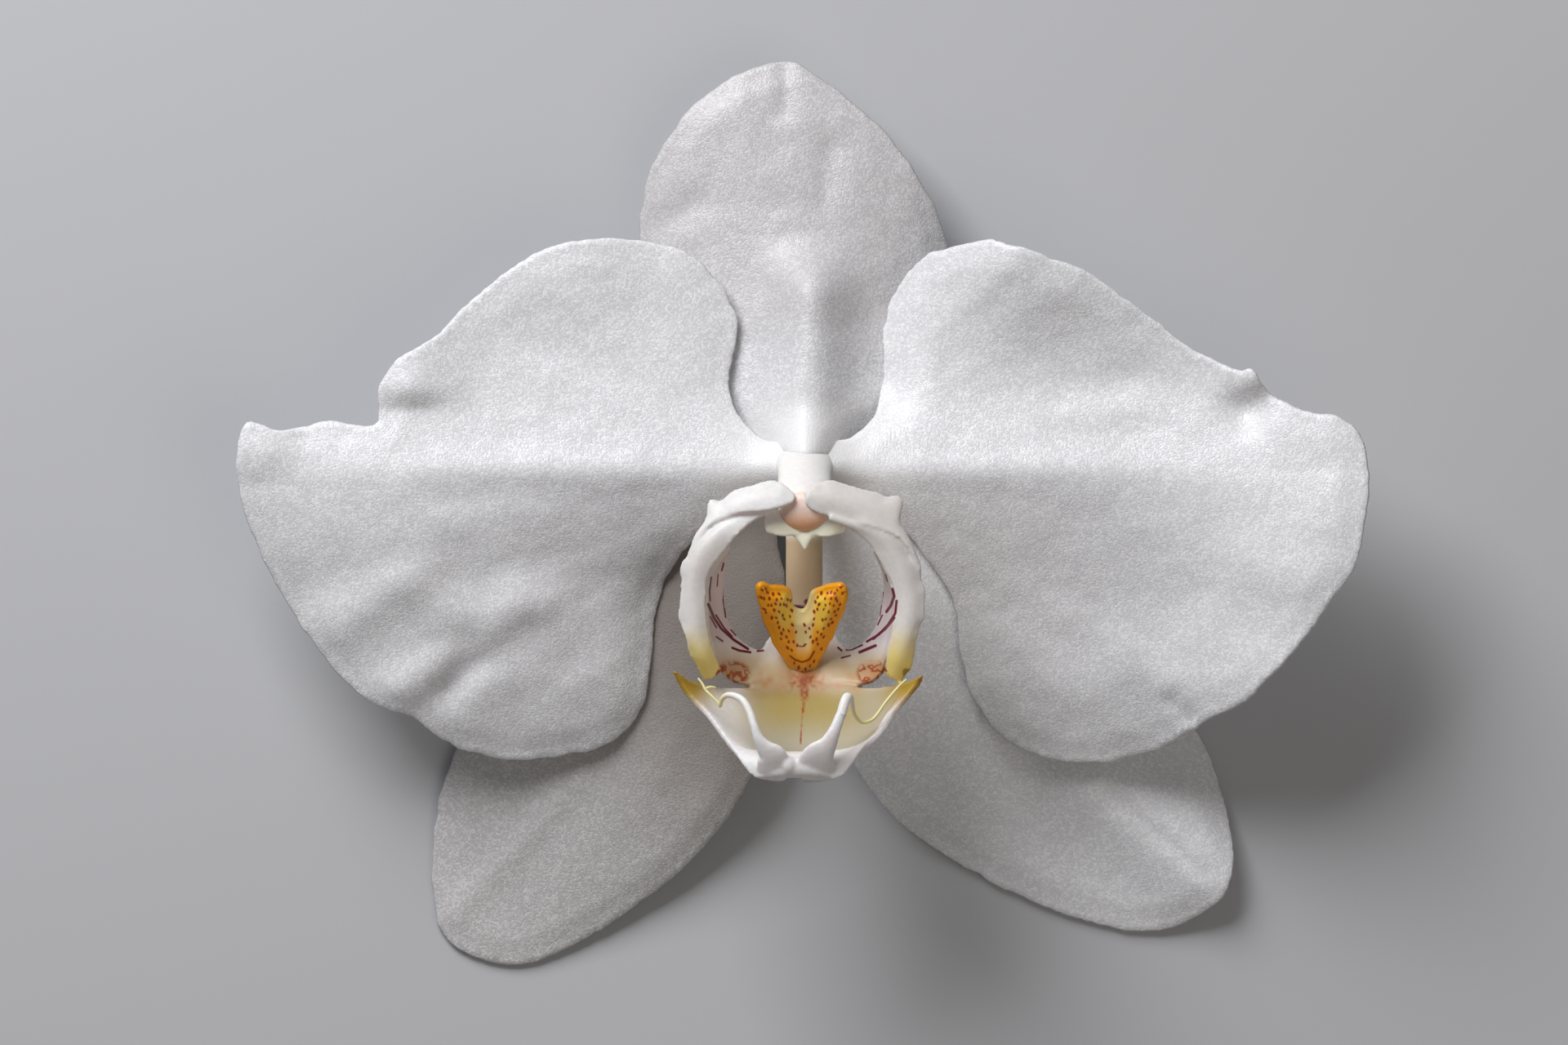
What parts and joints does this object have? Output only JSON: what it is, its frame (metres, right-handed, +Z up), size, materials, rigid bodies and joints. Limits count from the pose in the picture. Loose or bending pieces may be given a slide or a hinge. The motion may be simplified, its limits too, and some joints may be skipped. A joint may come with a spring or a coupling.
{
  "type": "moth orchid flower",
  "caption": "White moth orchid flower with a spotted yellow crest and curled lip tendrils, picked and lying face up.",
  "frame": {"origin": "on the surface that the flower lies on, under the middle of its outline", "axes": "+Z up, out of the flower's face; +Y towards the dorsal sepal; +X to the right of someone who looks at the face"},
  "size_m": [0.1002, 0.0808, 0.0298],
  "materials": {
    "petal": "matt white petal with a fine crystalline sparkle",
    "lip": "waxy white, yellow to olive towards the base and the horns",
    "callus": "waxy orange yellow with small dark red spots",
    "column": "smooth waxy ivory",
    "anther": "smooth waxy peach",
    "pollen": "waxy yellow",
    "pedicel": "smooth pale green, whiter towards the flower"
  },
  "bodies": {
    "root": {"anther_cap": "anther", "callus": "callus", "column": "column", "dorsal_sepal": "petal", "left_lateral_sepal": "petal", "left_petal": "petal", "lip": "lip", "pedicel": "pedicel", "pollinia": "pollen", "right_lateral_sepal": "petal", "right_petal": "petal"}
  },
  "joints": []
}
